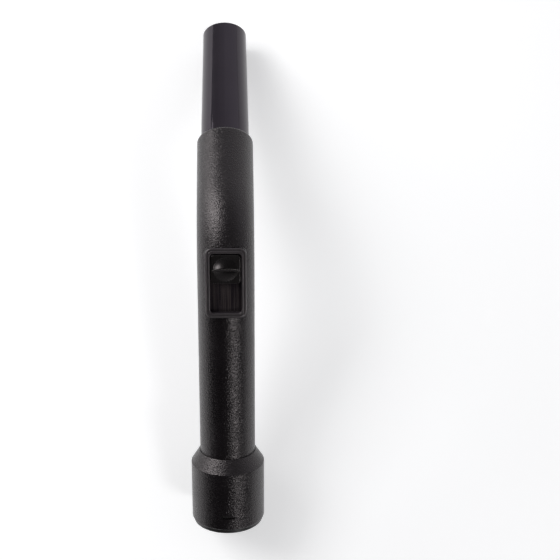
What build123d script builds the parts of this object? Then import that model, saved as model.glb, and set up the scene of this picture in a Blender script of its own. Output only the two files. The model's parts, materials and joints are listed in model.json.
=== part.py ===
from build123d import *
from math import asin, atan2, cos, hypot, radians, sin
import os

# Bent handle of a vacuum cleaner's suction hose, in millimetres.
#
# Frame: +Z up. The bend lies in the plane x = 0, with the spigot towards +Y and the hose
# collar towards -Y. The handle lies arched side up on z = 0, on the rim of its spigot and
# the rim of its collar. The origin is the middle of its footprint.
#
# Two straight legs leave the bend. Distances along the upper leg (spigot side) and along
# the lower leg (hose side) are counted from the end of the bend.

# ---- driving dimensions -------------------------------------------------------------

# centreline
bend_angle = 45.0
bend_radius = 70.0
upper_grip_length = 48.3        # end of the bend to the front rim of the grip
spigot_length = 96.6            # exposed part of the tube
lower_grip_length = 136.7       # end of the bend to the neck of the collar

# tube
spigot_tip_radius = 16.5        # the usual 35 mm wand taper
spigot_base_radius = 17.5
spigot_land_length = 13.6       # cylindrical stretch at the root of the taper
spigot_root_radius = 17.3       # under the lip of the grip
spigot_root_length = 0.4
tip_rounding = 0.8
bore_radius = 14.7
duct_radius = 16.9
retaining_rib_radius = 18.2
retaining_rib_width = 3.6
duct_reach = 23.0               # end of the duct, past the neck of the collar

# grip shells
grip_radius = 20.4
shell_wall = 2.0
front_rounding = 2.6
lip_thickness = 3.0
lip_clearance = 0.12
rib_width = 1.6
rib_clearance = 0.15
upper_ribs = (12.0, 34.0)
lower_ribs = (36.0, 76.0, 116.0)
seam_groove_side = 0.4          # square section of the groove along the seam of the shells
flange_start = 9.6              # rear flange of the shells, past the neck
flange_end = 16.4
flange_radius = 24.5

# regulator, on a plane tilted about X towards the hose
regulator_tilt = 15.5
regulator_height = 19.4         # above the lower end of the bend, square to its own plane
regulator_setback = 2.6         # from the lower end of the bend towards the hose
bezel_width = 28.7
bezel_length = 50.2
bezel_corner = 4.8
bezel_cap = 0.9                 # thickness of the visible frame
ridge_width = 1.05
groove_width = 0.9
groove_depth = 0.7
ridge_rounding = 0.5            # outer edge of the frame
groove_rounding = 0.45          # edges of the groove and of the opening
opening_width = 22.3
opening_length = 43.0
opening_corner = 2.6
opening_shift = -0.25           # the frame is wider at the spigot end
lip_depth = 2.6                 # the frame's lip over the flanges of the slide
skirt_width = 26.4
skirt_length = 47.2
skirt_corner = 3.6
channel_width = 24.6
plinth_margin = 0.1
plinth_draft = 3.0
seat_depth = 4.6                # floor of the recess
seat_thickness = 2.0
fit_gap = 0.1

# slide
slide_width = 20.7
slide_length = 20.6
slide_corner = 2.2
slide_rounding = 0.6
slide_top = 0.9                 # below the frame's face
slide_bottom = 4.25
slide_end_gap = 1.0
slide_flange_width = 24.0
slide_flange_length = 17.0
slide_flange_top = 2.9
dish_diameter = 17.0
dish_depth = 1.9
thumb_rib_width = 1.4
thumb_rib_length = 18.8
thumb_rib_height = 0.35         # above the slide's face
thumb_rib_shift = -1.0          # from the middle of the dish, towards the hose
spring_span = 15.0
spring_width = 3.0
spring_thickness = 0.3
spring_top = 3.15
spring_bottom = 4.5
spring_place = 2.6              # from the slide's rear edge
pocket_margin = 0.5
pocket_roof = 2.9

# bleed port, under the closed slide
port_width = 9.0
port_length = 10.4
port_corner = 2.0
port_place = 12.0               # from the middle of the regulator towards the spigot
gasket_margin = 2.0
gasket_thickness = 0.6
gasket_proud = 0.2

# hose collar, along the lower leg from its neck
collar_radius = 27.1
collar_bore = 24.8
collar_end = 54.4
cone_length = 9.6
neck_radius = 21.0
neck_clearance = 0.15
neck_land = 3.8                 # stretch of the cone that closes on the grip
throat_start = 7.2              # step behind the flange of the shells
throat_radius = 22.6
cone_rounding = 0.7
collar_rounding = 1.0
window_width = 9.6
window_height = 2.9
window_corner = 0.6
window_place = 43.9

# hose coupling
sleeve_radius = 24.65
sleeve_bore = 23.25
sleeve_start = 21.5
sleeve_end = 53.6
bushing_radius = 22.95
hose_bore = 20.5
bushing_start = 18.8
bushing_throat_start = 21.5
bushing_throat = 17.6
hose_bore_start = 24.0
seal_seat_radius = 20.3
mouth_flange_start = 54.8
mouth_flange_radius = 25.8
handle_end = 57.6               # outer face of the bushing's flange
mouth_chamfer = 0.6
thread_pitch = 4.2
thread_start = 25.5
thread_turns = 2.5
thread_depth = 1.1
relief_radius = 21.8            # room for the lugs when they are pressed
relief_start = 39.0
relief_end = 48.8
snap_groove_start = 20.0
snap_groove_width = 1.2
snap_groove_radius = 21.7
snap_ring_radius = 24.2
snap_ring_gap = 4.0
lug_head_width = 9.0
lug_head_height = 2.4
lug_head_reach = 25.9           # top of the head, from the hose axis
lug_rounding = 0.6
lug_base_width = 10.4
lug_base_length = 7.0
lug_base_inner = 23.35
lug_base_outer = 24.5
lug_pocket_margin = 0.3
washer_start = 53.7
washer_end = 54.6
seal_length = 2.5
seal_inner = 17.2
seal_lip = 0.7
dust_seal_thickness = 1.7

# screws
screw_radius = 1.22
pilot_radius = 1.25
screw_head_radius = 2.3
screw_head_height = 1.6
shell_screw_offset = 21.4
shell_screw_reach = 6.0
shell_screw_seat = 3.5
cross_recess_width = 0.7
cross_recess_length = 2.8
cross_recess_depth = 0.9
collar_screw_angle = 40.0       # either side of straight down
collar_screw_length = 5.6
countersink_radius = 2.6
countersink_depth = 1.5
countersink_angle = 45.0
screw_sink = 0.3                # heads of the collar screws under its surface

# ---- centreline ----------------------------------------------------------------------

upper_length = upper_grip_length + spigot_length
lower_length = lower_grip_length + handle_end


def resting_tilts():
    """Tilt of each leg, in radians, with both rounded rims touching the table."""
    bend = radians(bend_angle)
    tip_reach = upper_length - tip_rounding
    tip_offset = bend_radius - (spigot_tip_radius - tip_rounding)
    collar_reach = lower_grip_length + collar_end - collar_rounding
    collar_offset = bend_radius - (collar_radius - collar_rounding)
    lift = tip_offset - collar_offset * cos(bend) + collar_reach * sin(bend)
    reach = tip_reach + collar_offset * sin(bend) + collar_reach * cos(bend)
    step = (tip_rounding - collar_rounding) / hypot(lift, reach)
    upper_tilt = atan2(lift, reach) - asin(step)
    return upper_tilt, bend - upper_tilt


upper_tilt, lower_tilt = resting_tilts()

# highest point of the bend's centre above the table, from the rounded rim of the spigot
arc_z = ((upper_length - tip_rounding) * sin(upper_tilt)
         - (bend_radius - spigot_tip_radius + tip_rounding) * cos(upper_tilt) + tip_rounding)

# reach of the spigot's rim and of the bushing's flange, before centring the footprint
front_reach = ((bend_radius + spigot_tip_radius - tip_rounding) * sin(upper_tilt)
               + (upper_length - tip_rounding) * cos(upper_tilt) + tip_rounding)
rear_reach = ((bend_radius + mouth_flange_radius - collar_rounding) * sin(lower_tilt)
              + (lower_length - collar_rounding) * cos(lower_tilt) + collar_rounding)
arc_y = (rear_reach - front_reach) / 2

bend_front = Vector(0, arc_y + bend_radius * sin(upper_tilt), arc_z + bend_radius * cos(upper_tilt))
bend_rear = Vector(0, arc_y - bend_radius * sin(lower_tilt), arc_z + bend_radius * cos(lower_tilt))
bend_top = Vector(0, arc_y, arc_z + bend_radius)

upper_along = Vector(0, cos(upper_tilt), -sin(upper_tilt))
upper_out = Vector(0, sin(upper_tilt), cos(upper_tilt))
lower_along = Vector(0, -cos(lower_tilt), -sin(lower_tilt))
lower_out = Vector(0, -sin(lower_tilt), cos(lower_tilt))

# cross-section planes: local Z runs down the leg, local Y points out of the bend
upper_section = Plane(origin=bend_front, x_dir=(-1, 0, 0), z_dir=upper_along)
lower_section = Plane(origin=bend_rear, x_dir=(1, 0, 0), z_dir=lower_along)
neck_section = lower_section.offset(lower_grip_length)

# profile planes for turned pieces: local X is the radius, local Y runs along the axis
upper_profile = Plane(origin=bend_front, x_dir=upper_out, z_dir=(-1, 0, 0))
neck_origin = bend_rear + lower_along * lower_grip_length
neck_profile = Plane(origin=neck_origin, x_dir=lower_out, z_dir=(1, 0, 0))
upper_axis = Axis(bend_front, upper_along)
hose_axis = Axis(neck_origin, lower_along)

# regulator plane: local Z out of the handle, local Y towards the spigot
tilt = radians(regulator_tilt)
regulator_out = Vector(0, -sin(tilt), cos(tilt))
regulator_along = Vector(0, cos(tilt), sin(tilt))
regulator_origin = bend_rear + regulator_out * regulator_height - regulator_along * regulator_setback
regulator = Plane(origin=regulator_origin, x_dir=(1, 0, 0), z_dir=regulator_out)


def centreline(upper_end, lower_end):
    """Wire from a place on the upper leg, round the bend, to a place on the lower leg."""
    with BuildLine() as wire:
        Line(bend_front + upper_along * upper_end, bend_front)
        ThreePointArc(bend_front, bend_top, bend_rear)
        Line(bend_rear, bend_rear + lower_along * lower_end)
    return wire.wires()[0]


def turned(points, plane, axis, angle=360.0):
    """Solid of revolution from a closed outline of (radius, distance) points."""
    with BuildPart() as piece:
        with BuildSketch(plane):
            with BuildLine():
                Polyline(*points, close=True)
            make_face()
        revolve(axis=axis, revolution_arc=angle)
    return piece.part


def ring(inner, outer, start, end):
    """Plain ring on the hose axis."""
    points = [(inner, start), (outer, start), (outer, end), (inner, end)]
    return turned(points, neck_profile, hose_axis)


# ---- spaces cut out of several pieces --------------------------------------------------

with BuildPart() as air_bore:
    with BuildSketch(upper_section.offset(upper_length)):
        Circle(bore_radius)
    sweep(path=centreline(upper_length, lower_grip_length + duct_reach))
    # flat roof of the bore under the regulator's seat
    with BuildSketch(regulator.offset(-seat_depth - seat_thickness)):
        Rectangle(2 * bore_radius, skirt_length)
    extrude(amount=bore_radius, mode=Mode.SUBTRACT)

with BuildPart() as shell_cavity:
    with BuildSketch(upper_section.offset(upper_grip_length - lip_thickness)):
        Circle(grip_radius - shell_wall)
    sweep(path=centreline(upper_grip_length - lip_thickness, lower_grip_length + flange_end))

# groove along the seam of the two shells, from the front rim to the collar
with BuildPart() as seam_groove:
    with BuildSketch(upper_section.offset(upper_grip_length)):
        with Locations((grip_radius, 0), (-grip_radius, 0)):
            Rectangle(seam_groove_side, seam_groove_side, rotation=45)
    sweep(path=centreline(upper_grip_length, lower_grip_length))

shell_rear = lower_grip_length + flange_end
screw_station = (flange_start + flange_end) / 2

# ---- suction tube ----------------------------------------------------------------------

land_start = upper_grip_length - lip_thickness
land_root = upper_grip_length + spigot_root_length
land_end = land_root + spigot_land_length

with BuildPart() as suction_tube:
    with BuildSketch(upper_profile):
        with BuildLine():
            Polyline(
                (0, upper_length),
                (spigot_tip_radius, upper_length),
                (spigot_base_radius, land_end),
                (spigot_base_radius, land_root),
                (spigot_root_radius, land_root),
                (spigot_root_radius, land_start - fit_gap),
                (retaining_rib_radius, land_start - fit_gap),
                (retaining_rib_radius, land_start - retaining_rib_width),
                (duct_radius, land_start - retaining_rib_width),
                (0, land_start - retaining_rib_width),
                close=True,
            )
        make_face()
        tip_corner = vertices().group_by(Axis.X)[1].sort_by(Axis.Y)[-1]
        fillet(tip_corner, radius=tip_rounding)
    revolve(axis=upper_axis)
    with BuildSketch(upper_section.offset(land_start - retaining_rib_width)):
        Circle(duct_radius)
    sweep(path=centreline(land_start - retaining_rib_width, lower_grip_length + duct_reach))
    # seat of the regulator, standing on the duct
    with BuildSketch(regulator.offset(-seat_depth)):
        RectangleRounded(skirt_width, skirt_length, skirt_corner)
    extrude(amount=-seat_depth)
    # room above the seat
    with BuildSketch(regulator.offset(-seat_depth)):
        RectangleRounded(skirt_width + 2 * fit_gap, skirt_length + 2 * fit_gap, skirt_corner)
    extrude(amount=2 * seat_depth, mode=Mode.SUBTRACT)
    add(air_bore.part, mode=Mode.SUBTRACT)
    # bleed port, and the rebate of its gasket
    with BuildSketch(regulator.offset(-seat_depth)):
        with Locations((0, port_place)):
            RectangleRounded(port_width, port_length, port_corner)
    extrude(amount=-2 * seat_depth, mode=Mode.SUBTRACT)
    with BuildSketch(regulator.offset(-seat_depth)):
        with Locations((0, port_place)):
            RectangleRounded(
                port_width + 2 * (gasket_margin + fit_gap),
                port_length + 2 * (gasket_margin + fit_gap),
                port_corner + gasket_margin,
            )
    extrude(amount=gasket_proud - gasket_thickness, mode=Mode.SUBTRACT)

# ---- grip shells -----------------------------------------------------------------------


def half_disc(radius, side):
    """Half disc in the current sketch, on the outer (+1) or inner (-1) side of the bend."""
    align = Align.MIN if side > 0 else Align.MAX
    Circle(radius)
    Rectangle(2 * radius, radius, align=(Align.CENTER, align), mode=Mode.INTERSECT)


def half_ring(plane, inner, outer, side, length):
    """Half ring that starts in a cross-section and runs on down the leg."""
    with BuildPart() as piece:
        with BuildSketch(plane):
            half_disc(outer, side)
            if inner > 0:
                Circle(inner, mode=Mode.SUBTRACT)
        extrude(amount=length)
    return piece.part


def half_shell(side, with_plinth):
    """One grained half of the grip, from its front rim to the flange inside the collar."""
    rib_inner = duct_radius + rib_clearance
    rib_outer = grip_radius - shell_wall / 2
    with BuildPart() as shell:
        with BuildSketch(upper_section.offset(upper_grip_length)):
            half_disc(grip_radius, side)
        sweep(path=centreline(upper_grip_length, shell_rear))
        rims = shell.edges().filter_by(GeomType.CIRCLE)
        front_rim = rims.sort_by(Axis(bend_front, upper_along))[-1]
        fillet(front_rim, radius=front_rounding)
        flange_length = flange_end - flange_start
        add(half_ring(neck_section.offset(flange_start), 0, flange_radius, side, flange_length))
        if with_plinth:
            with BuildSketch(regulator.offset(-bezel_cap)):
                RectangleRounded(
                    bezel_width + 2 * plinth_margin,
                    bezel_length + 2 * plinth_margin,
                    bezel_corner + plinth_margin,
                )
            extrude(amount=-2 * seat_depth, taper=-plinth_draft)
        add(shell_cavity.part, mode=Mode.SUBTRACT)
        add(seam_groove.part, mode=Mode.SUBTRACT)
        with BuildSketch(upper_section.offset(upper_grip_length)):
            Circle(spigot_root_radius + lip_clearance)
        extrude(amount=-2 * lip_thickness, mode=Mode.SUBTRACT)
        for place in upper_ribs:
            rib_plane = upper_section.offset(place)
            add(half_ring(rib_plane, rib_inner, rib_outer, side, rib_width))
        for place in lower_ribs:
            rib_plane = lower_section.offset(place)
            add(half_ring(rib_plane, rib_inner, rib_outer, side, rib_width))
    return shell.part


top_half = half_shell(1, with_plinth=True)
bottom_half = half_shell(-1, with_plinth=False)

screw_plane = Plane(
    origin=neck_origin + lower_along * screw_station, x_dir=(1, 0, 0), z_dir=lower_out
)
shell_screw_places = [(-shell_screw_offset, 0), (shell_screw_offset, 0)]

with BuildPart() as grip_top_shell:
    add(top_half)
    # mouth of the regulator, and the rebate of its frame
    with BuildSketch(regulator):
        RectangleRounded(skirt_width + 2 * fit_gap, skirt_length + 2 * fit_gap, skirt_corner)
    extrude(amount=seat_depth, both=True, mode=Mode.SUBTRACT)
    with BuildSketch(regulator.offset(-seat_depth)):
        RectangleRounded(skirt_width + 2 * fit_gap, skirt_length + 2 * fit_gap, skirt_corner)
    extrude(amount=-2 * seat_depth, mode=Mode.SUBTRACT)
    with BuildSketch(regulator.offset(-bezel_cap)):
        RectangleRounded(bezel_width + 2 * fit_gap, bezel_length + 2 * fit_gap, bezel_corner)
    extrude(amount=2 * seat_depth, mode=Mode.SUBTRACT)
    with BuildSketch(screw_plane):
        with Locations(*shell_screw_places):
            Circle(pilot_radius)
    extrude(amount=shell_screw_reach + fit_gap, mode=Mode.SUBTRACT)

collar_screw_planes = []
for turn in (-collar_screw_angle, collar_screw_angle):
    radial = Vector(sin(radians(turn)), 0, 0) - lower_out * cos(radians(turn))
    collar_screw_planes.append(
        Plane(
            origin=neck_origin + lower_along * screw_station + radial * collar_radius,
            x_dir=lower_along,
            z_dir=radial,
        )
    )

with BuildPart() as grip_bottom_shell:
    add(bottom_half)
    with BuildSketch(screw_plane):
        with Locations(*shell_screw_places):
            Circle(pilot_radius)
    extrude(amount=-shell_screw_reach, mode=Mode.SUBTRACT)
    with BuildSketch(screw_plane.offset(-shell_screw_seat)):
        with Locations(*shell_screw_places):
            Circle(screw_head_radius + fit_gap)
    extrude(amount=-flange_radius, mode=Mode.SUBTRACT)
    for plane in collar_screw_planes:
        with BuildSketch(plane):
            Circle(pilot_radius)
        extrude(amount=-collar_screw_length - fit_gap, mode=Mode.SUBTRACT)

# ---- regulator -------------------------------------------------------------------------

with BuildPart() as regulator_bezel:
    with BuildSketch(regulator.offset(-bezel_cap)):
        RectangleRounded(bezel_width, bezel_length, bezel_corner)
    extrude(amount=bezel_cap)
    outer_rim = edges().group_by(Axis(regulator_origin, regulator_out))[-1]
    fillet(outer_rim, radius=ridge_rounding)
    with BuildSketch(regulator.offset(-bezel_cap)):
        RectangleRounded(skirt_width, skirt_length, skirt_corner)
    extrude(amount=bezel_cap - seat_depth)
    # groove between the two ridges
    outer_inset = 2 * ridge_width
    inner_inset = 2 * (ridge_width + groove_width)
    with BuildSketch(regulator):
        RectangleRounded(
            bezel_width - outer_inset, bezel_length - outer_inset, bezel_corner - ridge_width
        )
        RectangleRounded(
            bezel_width - inner_inset,
            bezel_length - inner_inset,
            bezel_corner - ridge_width - groove_width,
            mode=Mode.SUBTRACT,
        )
    extrude(amount=-groove_depth, mode=Mode.SUBTRACT)
    # opening, and the channel for the slide's flanges under its lip
    with BuildSketch(regulator):
        with Locations((0, opening_shift)):
            RectangleRounded(opening_width, opening_length, opening_corner)
    extrude(amount=-2 * seat_depth, mode=Mode.SUBTRACT)
    face_edges = edges().group_by(Axis(regulator_origin, regulator_out))[-1]
    fillet(face_edges, radius=groove_rounding)
    with BuildSketch(regulator.offset(-lip_depth)):
        with Locations((0, opening_shift)):
            RectangleRounded(channel_width, opening_length - fit_gap, opening_corner)
    extrude(amount=-seat_depth, mode=Mode.SUBTRACT)

slide_front = opening_shift + opening_length / 2 - slide_end_gap
slide_middle = slide_front - slide_length / 2
slide_rear = slide_front - slide_length
dish_sphere = ((dish_diameter / 2) ** 2 + dish_depth**2) / (2 * dish_depth)
dish_centre = regulator_origin + regulator_along * slide_middle + regulator_out * (
    dish_sphere - dish_depth - slide_top
)
# lengthwise section of the slide: local X towards the spigot, local Y out of the handle
slide_profile = Plane(
    origin=regulator_origin + regulator_along * slide_middle,
    x_dir=regulator_along,
    z_dir=(1, 0, 0),
)
rib_crest = thumb_rib_height - slide_top - thumb_rib_width / 2

with BuildPart() as regulator_slide:
    with BuildSketch(regulator.offset(-slide_bottom)):
        with Locations((0, slide_middle)):
            RectangleRounded(slide_width, slide_length, slide_corner)
    extrude(amount=slide_bottom - slide_top)
    slide_rim = edges().group_by(Axis(regulator_origin, regulator_out))[-1]
    fillet(slide_rim, radius=slide_rounding)
    with BuildSketch(regulator.offset(-slide_bottom)):
        with Locations((0, slide_middle)):
            Rectangle(slide_flange_width, slide_flange_length)
    extrude(amount=slide_bottom - slide_flange_top)
    with Locations(dish_centre):
        Sphere(dish_sphere, mode=Mode.SUBTRACT)
    # cross rib of the thumb dish, rounded along its top
    with BuildSketch(slide_profile):
        with Locations((thumb_rib_shift, rib_crest)):
            Circle(thumb_rib_width / 2)
            Rectangle(thumb_rib_width, dish_depth, align=(Align.CENTER, Align.MAX))
    extrude(amount=thumb_rib_length / 2, both=True)
    # pocket of the spring, in the underside
    with BuildSketch(regulator.offset(-slide_bottom)):
        with Locations((0, slide_rear + spring_place)):
            Rectangle(spring_span + 2 * pocket_margin, spring_width + 2 * pocket_margin)
    extrude(amount=slide_bottom - pocket_roof, mode=Mode.SUBTRACT)

spring_plane = Plane(
    origin=regulator_origin + regulator_along * (slide_rear + spring_place),
    x_dir=(1, 0, 0),
    z_dir=regulator_along * -1,
)

with BuildPart() as slide_spring:
    with BuildSketch(spring_plane):
        with BuildLine():
            half_span = spring_span / 2
            outer_bow = ThreePointArc(
                (-half_span, -spring_top - spring_thickness),
                (0, -spring_bottom),
                (half_span, -spring_top - spring_thickness),
            )
            inner_bow = ThreePointArc(
                (-half_span, -spring_top),
                (0, spring_thickness - spring_bottom),
                (half_span, -spring_top),
            )
            Line(outer_bow @ 0, inner_bow @ 0)
            Line(outer_bow @ 1, inner_bow @ 1)
        make_face()
    extrude(amount=spring_width / 2, both=True)

with BuildPart() as port_gasket:
    with BuildSketch(regulator.offset(gasket_proud - seat_depth)):
        with Locations((0, port_place)):
            RectangleRounded(
                port_width + 2 * gasket_margin,
                port_length + 2 * gasket_margin,
                port_corner + gasket_margin,
            )
            RectangleRounded(port_width, port_length, port_corner, mode=Mode.SUBTRACT)
    extrude(amount=-gasket_thickness)

# ---- hose collar -----------------------------------------------------------------------

# square to the leg, through the middle of the latch windows
lug_plane = Plane(
    origin=neck_origin + lower_along * window_place, x_dir=(1, 0, 0), z_dir=lower_out
)

with BuildPart() as hose_collar:
    with BuildSketch(neck_profile):
        with BuildLine():
            Polyline(
                (grip_radius + neck_clearance, 0),
                (neck_radius, 0),
                (collar_radius, cone_length),
                (collar_radius, collar_end),
                (collar_bore, collar_end),
                (collar_bore, flange_start - fit_gap),
                (throat_radius, flange_start - fit_gap),
                (throat_radius, throat_start),
                (grip_radius + neck_clearance, neck_land),
                close=True,
            )
        make_face()
        rim_corners = vertices().group_by(Axis.X)[-1].sort_by(Axis.Y)
        fillet(rim_corners[0], radius=cone_rounding)
        fillet(vertices().group_by(Axis.X)[-1].sort_by(Axis.Y)[-1], radius=collar_rounding)
    revolve(axis=hose_axis)
    # latch windows, one on each side of the bend
    with BuildSketch(lug_plane):
        RectangleRounded(window_width, window_height, window_corner)
    extrude(amount=2 * collar_radius, both=True, mode=Mode.SUBTRACT)
    for plane in collar_screw_planes:
        with BuildSketch(plane):
            Circle(screw_radius + fit_gap)
        extrude(amount=-collar_screw_length, mode=Mode.SUBTRACT)
        with BuildSketch(plane):
            Circle(countersink_radius + fit_gap)
        extrude(amount=-countersink_depth, taper=countersink_angle, mode=Mode.SUBTRACT)
        with BuildSketch(plane):
            Circle(countersink_radius + fit_gap)
        extrude(amount=countersink_depth, mode=Mode.SUBTRACT)

# ---- hose coupling ---------------------------------------------------------------------

with BuildPart() as coupling_sleeve:
    add(ring(sleeve_bore, sleeve_radius, sleeve_start, sleeve_end))
    with BuildSketch(lug_plane):
        Rectangle(lug_base_width + 2 * lug_pocket_margin, lug_base_length + 2 * lug_pocket_margin)
    extrude(amount=2 * sleeve_radius, both=True, mode=Mode.SUBTRACT)


def release_lug(side):
    """Latch lug: a head in the collar's window on a base plate inside the collar."""
    with BuildPart() as lug:
        with BuildSketch(lug_plane):
            Rectangle(lug_base_width, lug_base_length)
        extrude(amount=side * lug_base_outer)
        add(ring(lug_base_inner, lug_base_outer, 0, lower_length), mode=Mode.INTERSECT)
        with BuildPart(mode=Mode.PRIVATE) as head:
            with BuildSketch(lug_plane):
                Rectangle(lug_head_width, lug_head_height)
            extrude(amount=side * lug_head_reach)
            head_rim = head.edges().group_by(Axis(neck_origin, lower_out * side))[-1]
            fillet(head_rim, radius=lug_rounding)
            add(ring(lug_base_inner, collar_radius, 0, lower_length), mode=Mode.INTERSECT)
        add(head.part)
    return lug.part


with BuildPart() as release_lug_top:
    add(release_lug(1))

with BuildPart() as release_lug_bottom:
    add(release_lug(-1))

with BuildPart() as hose_bushing:
    with BuildSketch(neck_profile):
        with BuildLine():
            Polyline(
                (seal_seat_radius, bushing_start),
                (bushing_radius, bushing_start),
                (bushing_radius, snap_groove_start),
                (snap_groove_radius, snap_groove_start),
                (snap_groove_radius, snap_groove_start + snap_groove_width),
                (bushing_radius, snap_groove_start + snap_groove_width),
                (bushing_radius, relief_start),
                (relief_radius, relief_start),
                (relief_radius, relief_end),
                (bushing_radius, relief_end),
                (bushing_radius, mouth_flange_start),
                (mouth_flange_radius, mouth_flange_start),
                (mouth_flange_radius, handle_end),
                (hose_bore, handle_end),
                (hose_bore, hose_bore_start),
                (bushing_throat, hose_bore_start),
                (bushing_throat, bushing_throat_start),
                (seal_seat_radius, bushing_throat_start),
                close=True,
            )
        make_face()
        flange_corners = vertices().group_by(Axis.X)[-1].sort_by(Axis.Y)
        fillet(flange_corners[-1], radius=collar_rounding)
    revolve(axis=hose_axis)
    mouth_edge = edges().filter_by(GeomType.CIRCLE).sort_by(hose_axis)[-1]
    chamfer(mouth_edge, length=mouth_chamfer)
    # coarse thread for the hose
    helix_plane = neck_section.offset(thread_start)
    with BuildLine(helix_plane) as helix_line:
        helix = Helix(
            pitch=thread_pitch, height=thread_pitch * thread_turns, radius=hose_bore
        )
    helix_start = Plane(
        origin=helix_line.line @ 0, x_dir=lower_along, z_dir=helix_line.line % 0
    )
    with BuildSketch(helix_start):
        Circle(thread_depth)
    sweep(path=helix_line.line, is_frenet=True, mode=Mode.SUBTRACT)

with BuildPart() as bushing_snap_ring:
    ring_start = snap_groove_start + fit_gap
    ring_end = snap_groove_start + snap_groove_width - fit_gap
    add(ring(snap_groove_radius + fit_gap, snap_ring_radius, ring_start, ring_end))
    with BuildSketch(neck_section.offset(snap_groove_start)):
        with Locations((0, -snap_ring_radius)):
            Rectangle(snap_ring_gap, snap_ring_radius)
    extrude(amount=snap_groove_width, mode=Mode.SUBTRACT)

with BuildPart() as swivel_washer:
    add(ring(sleeve_bore + fit_gap, sleeve_radius, washer_start, washer_end))

with BuildPart() as swivel_seal:
    seal_rim = seal_seat_radius - fit_gap
    seal_end = bushing_throat_start - fit_gap
    seal_outline = [
        (seal_rim, seal_end - seal_length),
        (seal_rim, seal_end),
        (seal_inner + seal_lip, seal_end),
        (seal_inner, seal_end - seal_lip),
        (seal_inner, seal_end - seal_length + seal_lip),
        (seal_inner + seal_lip, seal_end - seal_length + seal_lip),
        (seal_rim - seal_lip, seal_end - seal_lip),
        (seal_rim - seal_lip, seal_end - seal_length),
    ]
    add(turned(seal_outline, neck_profile, hose_axis))

with BuildPart() as dust_seal:
    dust_start = flange_end + fit_gap
    add(ring(duct_radius + fit_gap, flange_radius, dust_start, dust_start + dust_seal_thickness))

# ---- screws ----------------------------------------------------------------------------


def screw(plane, length, head_radius, head_height, countersunk):
    """Cross-recessed screw; the plane is the top of its head, with local Z out of the head."""
    with BuildPart() as piece:
        with BuildSketch(plane):
            Circle(head_radius)
        extrude(amount=-head_height, taper=countersink_angle if countersunk else 0)
        with BuildSketch(plane.offset(-head_height / 2)):
            Circle(screw_radius)
        extrude(amount=head_height / 2 - length)
        with BuildSketch(plane):
            Rectangle(cross_recess_length, cross_recess_width)
            Rectangle(cross_recess_width, cross_recess_length)
        extrude(amount=-cross_recess_depth, mode=Mode.SUBTRACT)
    return piece.part


with BuildPart() as shell_screws:
    head_depth = shell_screw_seat + fit_gap / 2 + screw_head_height
    for place, _ in shell_screw_places:
        head_plane = Plane(
            origin=screw_plane.origin + Vector(place, 0, 0) - lower_out * head_depth,
            x_dir=(1, 0, 0),
            z_dir=lower_out * -1,
        )
        add(
            screw(
                head_plane,
                head_depth + shell_screw_reach,
                screw_head_radius,
                screw_head_height,
                countersunk=False,
            )
        )

with BuildPart() as collar_screws:
    for plane in collar_screw_planes:
        add(
            screw(
                plane.offset(-screw_sink),
                collar_screw_length - screw_sink,
                countersink_radius - screw_sink,
                countersink_depth - screw_sink,
                countersunk=True,
            )
        )

# ---- export ----------------------------------------------------------------------------

pieces = {
    "suction_tube": suction_tube,
    "grip_top_shell": grip_top_shell,
    "grip_bottom_shell": grip_bottom_shell,
    "shell_screws": shell_screws,
    "regulator_bezel": regulator_bezel,
    "regulator_slide": regulator_slide,
    "slide_spring": slide_spring,
    "port_gasket": port_gasket,
    "hose_collar": hose_collar,
    "collar_screws": collar_screws,
    "dust_seal": dust_seal,
    "coupling_sleeve": coupling_sleeve,
    "release_lug_top": release_lug_top,
    "release_lug_bottom": release_lug_bottom,
    "swivel_washer": swivel_washer,
    "hose_bushing": hose_bushing,
    "bushing_snap_ring": bushing_snap_ring,
    "swivel_seal": swivel_seal,
}

os.makedirs("parts", exist_ok=True)
for name, piece in pieces.items():
    piece.part.label = name
    export_step(piece.part, f"parts/{name}.step")
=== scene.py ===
"""Looks of a vacuum hose handle: black mouldings on a pale floor, seen from above."""
import json
import math

import bpy
from mathutils import Matrix, Vector


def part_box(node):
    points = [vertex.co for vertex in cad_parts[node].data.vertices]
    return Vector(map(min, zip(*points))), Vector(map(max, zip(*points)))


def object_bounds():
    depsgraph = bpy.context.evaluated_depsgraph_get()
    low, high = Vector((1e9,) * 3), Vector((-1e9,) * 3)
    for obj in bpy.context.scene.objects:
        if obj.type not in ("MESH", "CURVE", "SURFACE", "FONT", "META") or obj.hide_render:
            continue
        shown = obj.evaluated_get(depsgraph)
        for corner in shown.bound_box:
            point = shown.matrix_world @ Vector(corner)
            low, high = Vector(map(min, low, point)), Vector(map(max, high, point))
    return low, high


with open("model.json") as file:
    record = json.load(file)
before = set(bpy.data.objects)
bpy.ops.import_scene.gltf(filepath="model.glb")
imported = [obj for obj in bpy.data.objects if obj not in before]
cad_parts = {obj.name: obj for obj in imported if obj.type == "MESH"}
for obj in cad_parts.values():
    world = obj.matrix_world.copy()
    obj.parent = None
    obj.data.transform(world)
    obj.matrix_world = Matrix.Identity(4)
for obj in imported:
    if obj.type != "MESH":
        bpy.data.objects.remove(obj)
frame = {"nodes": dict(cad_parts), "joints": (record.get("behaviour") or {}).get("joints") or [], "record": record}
cad_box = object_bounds()

MM = 0.001

# ---- directions and places, read from the frame ----------------------------------------

joints = {joint["name"]: joint for joint in frame["joints"]}
mounts = {mount["name"]: mount for mount in frame["record"]["mounts"]}
spigot_along = Vector(mounts["wand_spigot"]["axis"])
slide_along = Vector(joints["suction_slide"]["axis"])
seat_low, seat_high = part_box("regulator_bezel")
seat_middle = (seat_low + seat_high) / 2

# ---- node helpers ----------------------------------------------------------------------

noise_low, noise_high = 0.3, 0.7    # a noise texture's values lie mostly between these


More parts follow.
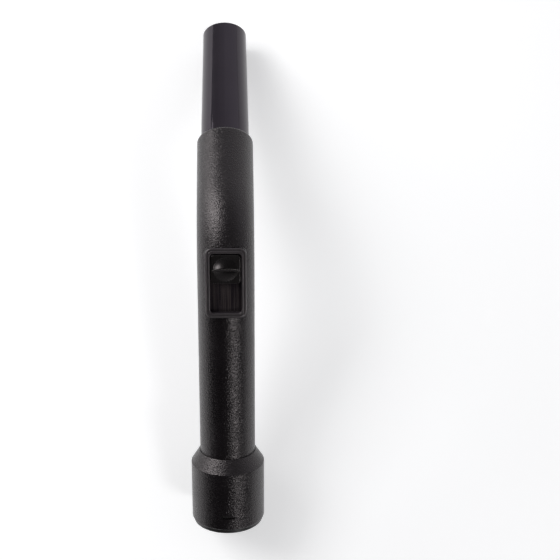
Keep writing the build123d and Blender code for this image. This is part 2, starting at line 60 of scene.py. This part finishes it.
class Shader:
    """A material's node tree, with short calls for the nodes that the finishes share."""

    def __init__(self, name, specular=0.5, tint=(1.0, 1.0, 1.0)):
        self.material = bpy.data.materials.new(name)
        self.material.use_nodes = True
        self.nodes = self.material.node_tree.nodes
        self.links = self.material.node_tree.links
        self.surface = self.nodes["Principled BSDF"]
        self.feed(self.surface, "Specular IOR Level", specular)
        self.feed(self.surface, "Specular Tint", tint)
        self.place = self.nodes.new("ShaderNodeTexCoord").outputs["Object"]

    def feed(self, node, socket, value):
        """Link an output to a socket, or set the socket to a number or a colour."""
        if isinstance(value, bpy.types.NodeSocket):
            self.links.new(value, node.inputs[socket])
        elif isinstance(value, tuple):
            node.inputs[socket].default_value = (*value, 1.0)
        else:
            node.inputs[socket].default_value = value

    def stretched(self, along, factor):
        """Coordinates squeezed along one direction, which draws a pattern out along it."""
        mapping = self.nodes.new("ShaderNodeMapping")
        mapping.vector_type = "TEXTURE"
        mapping.inputs["Rotation"].default_value = along.to_track_quat("Z", "Y").to_euler()
        mapping.inputs["Scale"].default_value = (1.0, 1.0, factor)
        self.feed(mapping, "Vector", self.place)
        return mapping.outputs["Vector"]

    def noise(self, size, detail=3.0, roughness=0.5, vector=None):
        node = self.nodes.new("ShaderNodeTexNoise")
        self.feed(node, "Scale", 1.0 / size)
        self.feed(node, "Detail", detail)
        self.feed(node, "Roughness", roughness)
        self.feed(node, "Vector", vector or self.place)
        return node.outputs["Fac"]

    def cells(self, size, smoothness=0.4):
        """Distance from the middle of rounded cells of the given size."""
        node = self.nodes.new("ShaderNodeTexVoronoi")
        node.feature = "SMOOTH_F1"
        self.feed(node, "Scale", 1.0 / size)
        self.feed(node, "Smoothness", smoothness)
        self.feed(node, "Vector", self.place)
        return node.outputs["Distance"]

    def remap(self, value, low, high, out_low, out_high):
        node = self.nodes.new("ShaderNodeMapRange")
        self.feed(node, "From Min", low)
        self.feed(node, "From Max", high)
        self.feed(node, "To Min", out_low)
        self.feed(node, "To Max", out_high)
        self.feed(node, "Value", value)
        return node.outputs["Result"]

    def vary(self, noise, at_low, at_high):
        """Spread a noise between two values."""
        return self.remap(noise, noise_low, noise_high, at_low, at_high)

    def share(self, noise, start, end):
        """0 where a noise is below the start, 1 where it is above the end."""
        return self.remap(noise, start, end, 0.0, 1.0)

    def maths(self, operation, first, second):
        node = self.nodes.new("ShaderNodeMath")
        node.operation = operation
        self.feed(node, 0, first)
        self.feed(node, 1, second)
        return node.outputs[0]

    def mix_colour(self, share, first, second):
        node = self.nodes.new("ShaderNodeMix")
        node.data_type = "RGBA"
        colours = [index for index, socket in enumerate(node.inputs) if socket.type == "RGBA"]
        self.feed(node, "Factor", share)
        self.feed(node, colours[0], first)
        self.feed(node, colours[1], second)
        return next(socket for socket in node.outputs if socket.type == "RGBA")

    def bevel(self, radius, samples):
        node = self.nodes.new("ShaderNodeBevel")
        node.samples = samples
        self.feed(node, "Radius", radius)
        return node.outputs["Normal"]

    def edges(self, radius):
        """1 on sharp outer edges, 0 on flat faces, from the turn of the rounded normal."""
        geometry = self.nodes.new("ShaderNodeNewGeometry")
        dot = self.nodes.new("ShaderNodeVectorMath")
        dot.operation = "DOT_PRODUCT"
        self.feed(dot, 0, self.bevel(radius, samples=4))
        self.feed(dot, 1, geometry.outputs["True Normal"])
        return self.remap(dot.outputs["Value"], 0.98, 0.80, 0.0, 1.0)

    def near(self, point, radius):
        """1 close to a point, fading to 0 at the radius."""
        distance = self.nodes.new("ShaderNodeVectorMath")
        distance.operation = "DISTANCE"
        distance.inputs[1].default_value = point
        self.feed(distance, 0, self.place)
        return self.remap(distance.outputs["Value"], 0.7 * radius, radius, 1.0, 0.0)

    def bump(self, height, depth, strength=1.0, after=None):
        node = self.nodes.new("ShaderNodeBump")
        self.feed(node, "Strength", strength)
        self.feed(node, "Distance", depth)
        self.feed(node, "Height", height)
        if after is not None:
            self.feed(node, "Normal", after)
        return node.outputs["Normal"]

    def finish(self, colour, roughness, normal=None):
        self.feed(self.surface, "Base Color", colour)
        self.feed(self.surface, "Roughness", roughness)
        if normal is not None:
            self.feed(self.surface, "Normal", normal)
        return self.material


# ---- finishes --------------------------------------------------------------------------

warm_cast = (1.0, 0.92, 0.93)       # colour of the shine on the black mouldings
cool_cast = (0.97, 0.84, 1.0)       # colour of the shine on the polished tube


def grained_plastic():
    """Black moulding with the fine pitted grain of a spark-eroded mould."""
    pit_size = 1.0 * MM
    speck_size = 0.77 * MM
    grain_depth = 0.24 * MM
    touch_size = 38 * MM            # patches that hands have polished
    edge_mask_radius = 0.6 * MM
    s = Shader("grained_black", tint=warm_cast)
    pits = s.cells(pit_size)
    specks = s.noise(speck_size, detail=1.0)
    touched = s.noise(touch_size, detail=2.0)
    wear_and_edge_sheen = s.edges(edge_mask_radius)
    black = s.mix_colour(
        s.share(touched, 0.35, 0.65), (0.0028, 0.0020, 0.0026), (0.0046, 0.0034, 0.0041)
    )
    # sharp edges half-way to a lighter grey: partly rubbed wear, partly a painted highlight
    colour = s.mix_colour(s.maths("MULTIPLY", wear_and_edge_sheen, 0.5), black, (0.03, 0.029, 0.029))
    rough = s.maths("ADD", s.vary(specks, 0.22, 0.30), s.vary(touched, -0.03, 0.03))
    rough = s.maths("SUBTRACT", rough, s.maths("MULTIPLY", wear_and_edge_sheen, 0.10))
    grain = s.maths("ADD", s.maths("MULTIPLY", pits, 0.6), specks)
    return s.finish(colour, rough, s.bump(grain, grain_depth))


def gloss_tube():
    """Polished black tube, with faint rubbing along it and wear where the slide runs."""
    rub_size = 0.5 * MM
    haze_size = 22 * MM
    wave_size = 9 * MM
    streak_size = 1.1 * MM
    seat_radius = 27 * MM           # the tube is scuffed this far from the slide's seat
    s = Shader("gloss_black", tint=cool_cast)
    rub = s.noise(rub_size, vector=s.stretched(spigot_along, 60.0))
    haze = s.noise(haze_size)
    wave = s.noise(wave_size, detail=1.0)
    streaks = s.noise(
        streak_size, detail=4.0, roughness=0.6, vector=s.stretched(slide_along, 40.0)
    )
    seat = s.near(seat_middle, seat_radius)
    scuff = s.maths("MULTIPLY", seat, s.remap(streaks, 0.42, 0.62, 0.1, 1.0))
    black = s.mix_colour(
        s.share(haze, 0.35, 0.7), (0.0036, 0.0024, 0.0040), (0.0058, 0.0042, 0.0062)
    )
    colour = s.mix_colour(s.maths("MULTIPLY", scuff, 0.7), black, (0.050, 0.041, 0.038))
    rough = s.maths("ADD", s.remap(rub, 0.4, 0.7, 0.06, 0.12), s.vary(haze, -0.02, 0.03))
    rough = s.maths("ADD", rough, s.maths("MULTIPLY", seat, 0.16))
    normal = s.bump(wave, 0.05 * MM, strength=0.25)
    normal = s.bump(rub, 0.004 * MM, strength=0.5, after=normal)
    return s.finish(colour, rough, normal)


def satin_black(name, base, edge_highlight_colour, smoothest, roughest, specular=0.5, rounding=None):
    """Smooth black moulding with hairline scratches and rounded edges; its sharp edges take a lighter colour as a
    painted highlight.
    """
    scratch_size = 0.35 * MM
    haze_size = 7 * MM
    ripple_size = 0.6 * MM
    edge_mask_radius = 0.5 * MM
    s = Shader(name, specular, warm_cast)
    scratches = s.noise(scratch_size, detail=4.0, vector=s.stretched(slide_along, 25.0))
    haze = s.noise(haze_size)
    # painted highlight: sharp edges take the lighter colour
    colour = s.mix_colour(s.edges(edge_mask_radius), base, edge_highlight_colour)
    rough = s.remap(scratches, 0.35, 0.7, smoothest, roughest)
    rough = s.maths("ADD", rough, s.vary(haze, -0.02, 0.03))
    soft = s.bevel(rounding, samples=6) if rounding else None
    normal = s.bump(s.noise(ripple_size, detail=2.0), 0.01 * MM, strength=0.4, after=soft)
    normal = s.bump(scratches, 0.004 * MM, strength=0.4, after=normal)
    return s.finish(colour, rough, normal)


def cuff_plastic():
    """Plain satin black moulding of the hose cuff, scuffed in turning; its sharp edges are lighter, partly rubbed
    wear, partly a painted highlight.
    """
    s = Shader("cuff_black")
    fine = s.noise(0.4 * MM)
    haze = s.noise(14 * MM)
    # sharp edges lighter: partly rubbed wear, partly a painted highlight
    wear_and_edge_sheen = s.maths("MULTIPLY", s.edges(0.5 * MM), 0.4)
    colour = s.mix_colour(wear_and_edge_sheen, (0.013, 0.013, 0.013), (0.045, 0.044, 0.044))
    rough = s.maths("ADD", s.vary(fine, 0.30, 0.40), s.vary(haze, -0.04, 0.05))
    return s.finish(colour, rough, s.bump(fine, 0.03 * MM, strength=0.35))


def rubber():
    """Dull black seal rubber with a dusty bloom."""
    s = Shader("seal_rubber", specular=0.35)
    bloom = s.noise(3 * MM, detail=4.0)
    grit = s.noise(0.3 * MM)
    colour = s.mix_colour(
        s.share(bloom, 0.45, 0.75), (0.018, 0.018, 0.018), (0.05, 0.049, 0.048)
    )
    return s.finish(colour, s.vary(bloom, 0.6, 0.8), s.bump(grit, 0.02 * MM, strength=0.4))


def acetal():
    """Natural white bearing plastic."""
    s = Shader("washer_white")
    cloud = s.noise(2 * MM)
    colour = s.mix_colour(cloud, (0.72, 0.71, 0.66), (0.80, 0.79, 0.76))
    return s.finish(colour, s.vary(cloud, 0.35, 0.5), s.bump(cloud, 0.02 * MM, strength=0.3))


def bright_steel(name, colour, smoothest, roughest):
    """Steel with fine drawing marks and a slight tarnish."""
    s = Shader(name)
    s.feed(s.surface, "Metallic", 1.0)
    marks = s.noise(0.12 * MM)
    tarnish = s.noise(1.5 * MM)
    darker = tuple(channel * 0.7 for channel in colour)
    tone = s.mix_colour(s.share(tarnish, 0.4, 0.7), colour, darker)
    rough = s.vary(marks, smoothest, roughest)
    return s.finish(tone, rough, s.bump(marks, 0.006 * MM, strength=0.4))


# each finish's second colour is a painted highlight on its sharp edges
frame_finish = satin_black(
    "frame_black",
    base=(0.021, 0.018, 0.020), edge_highlight_colour=(0.065, 0.060, 0.061),
    smoothest=0.28, roughest=0.38, specular=1.0, rounding=0.3 * MM,
)
slide_finish = satin_black(
    "slide_black",
    base=(0.004, 0.0035, 0.0033), edge_highlight_colour=(0.20, 0.185, 0.18),
    smoothest=0.25, roughest=0.33, rounding=0.3 * MM,
)
lug_finish = satin_black(
    "lug_black",
    base=(0.011, 0.010, 0.010), edge_highlight_colour=(0.20, 0.19, 0.19),
    smoothest=0.22, roughest=0.30, specular=0.8, rounding=0.3 * MM,
)
inner_finish = satin_black(
    "inner_black",
    base=(0.022, 0.022, 0.022), edge_highlight_colour=(0.032, 0.032, 0.032),
    smoothest=0.40, roughest=0.52,
)
grain_finish = grained_plastic()
rubber_finish = rubber()
spring_finish = bright_steel("spring_steel", (0.52, 0.51, 0.50), 0.22, 0.34)
screw_finish = bright_steel("zinc_screw", (0.60, 0.60, 0.58), 0.25, 0.40)

finishes = {
    "suction_tube": gloss_tube(),
    "grip_top_shell": grain_finish,
    "grip_bottom_shell": grain_finish,
    "hose_collar": grain_finish,
    "regulator_bezel": frame_finish,
    "regulator_slide": slide_finish,
    "release_lug_top": lug_finish,
    "release_lug_bottom": lug_finish,
    "coupling_sleeve": inner_finish,
    "hose_bushing": cuff_plastic(),
    "port_gasket": rubber_finish,
    "dust_seal": rubber_finish,
    "swivel_seal": rubber_finish,
    "swivel_washer": acetal(),
    "slide_spring": spring_finish,
    "bushing_snap_ring": spring_finish,
    "shell_screws": screw_finish,
    "collar_screws": screw_finish,
}
for node, finish in finishes.items():
    slots = frame["nodes"][node].data.materials
    for index in range(len(slots)):
        slots[index] = finish

# ---- floor -----------------------------------------------------------------------------

floor_half = 4.0
floor_gap = 0.02 * MM       # between the paper and the lowest point of the handle
floor_glow = 0.385          # light that the paper gets from the studio's bounce


def paper():
    """Seamless white paper."""
    s = Shader("paper", specular=0.2)
    s.feed(s.surface, "Emission Color", (1.0, 1.0, 1.0))
    s.feed(s.surface, "Emission Strength", floor_glow)
    fibre = s.noise(2.5 * MM)
    return s.finish(s.mix_colour(fibre, (0.855, 0.855, 0.858), (0.865, 0.865, 0.865)), 0.85)


mesh = bpy.data.meshes.new("floor")
corners = [(-1, -1), (1, -1), (1, 1), (-1, 1)]
mesh.from_pydata([(x * floor_half, y * floor_half, 0.0) for x, y in corners], [], [(0, 1, 2, 3)])
mesh.materials.append(paper())
floor = bpy.data.objects.new("floor", mesh)
floor.location.z = cad_box[0].z - floor_gap
bpy.context.scene.collection.objects.link(floor)

# ---- light -----------------------------------------------------------------------------


def soft_box(name, direction, distance, width, height, power):
    """Rectangular studio light, in metres and watts, that faces the middle of the handle."""
    data = bpy.data.lights.new(name, "AREA")
    data.shape = "RECTANGLE"
    data.size = width
    data.size_y = height
    data.energy = power
    lamp = bpy.data.objects.new(name, data)
    lamp.location = Vector(direction).normalized() * distance
    lamp.rotation_euler = Vector(direction).to_track_quat("Z", "Y").to_euler()
    bpy.context.scene.collection.objects.link(lamp)


soft_box("key", (-0.625, 0.415, 0.661), distance=1.3, width=0.66, height=0.44, power=7.9)
soft_box("side", (-0.83, 0.50, 0.26), distance=2.0, width=1.0, height=0.6, power=11.0)
soft_box("over", (-0.38, 0.44, 0.81), distance=1.6, width=0.5, height=0.4, power=2.0)
soft_box("fill", (0.48, -0.55, 0.69), distance=2.0, width=0.5, height=0.42, power=7.8)

world = bpy.data.worlds.new("studio")
world.use_nodes = True
bpy.context.scene.world = world
studio = world.node_tree
around = studio.nodes.new("ShaderNodeTexCoord")
direction = studio.nodes.new("ShaderNodeSeparateXYZ")
studio.links.new(around.outputs["Generated"], direction.inputs[0])


def fade(axis, low, high, at_low, at_high):
    """Brightness that changes along one axis of the room."""
    node = studio.nodes.new("ShaderNodeMapRange")
    node.interpolation_type = "SMOOTHSTEP"
    node.inputs["From Min"].default_value = low
    node.inputs["From Max"].default_value = high
    node.inputs["To Min"].default_value = at_low
    node.inputs["To Max"].default_value = at_high
    studio.links.new(direction.outputs[axis], node.inputs["Value"])
    return node.outputs["Result"]


def product(first, second):
    node = studio.nodes.new("ShaderNodeMath")
    node.operation = "MULTIPLY"
    studio.links.new(first, node.inputs[0])
    studio.links.new(second, node.inputs[1])
    return node.outputs[0]


ceiling = fade("Z", 0.30, 0.80, at_low=0.88, at_high=0.33)      # bright walls, dim ceiling
front_to_back = fade("Y", -0.5, 0.45, at_low=0.15, at_high=1.0)
left_to_right = fade("X", -0.6, 0.1, at_low=0.55, at_high=1.0)
room = product(product(ceiling, front_to_back), left_to_right)
studio.links.new(room, studio.nodes["Background"].inputs["Strength"])
studio.nodes["Background"].inputs["Color"].default_value = (0.95, 0.955, 1.0, 1.0)

# ---- camera ----------------------------------------------------------------------------

camera_place = Vector((41.6, -3.7, 936.1)) * MM
camera_lean = math.radians(2.15)    # the handle leans sideways a little under the camera
camera_turn = math.radians(0.47)

data = bpy.data.cameras.new("camera")
data.lens = 77.1
data.sensor_width = 36.0
data.clip_start = 0.05
data.clip_end = 20.0
camera = bpy.data.objects.new("camera", data)
camera.matrix_world = (
    Matrix.Rotation(-camera_lean, 4, "Y")
    @ Matrix.Rotation(-camera_turn, 4, "Z")
    @ Matrix.Translation(camera_place)
)
bpy.context.scene.collection.objects.link(camera)
bpy.context.scene.camera = camera
bpy.context.scene.view_settings.view_transform = "Standard"
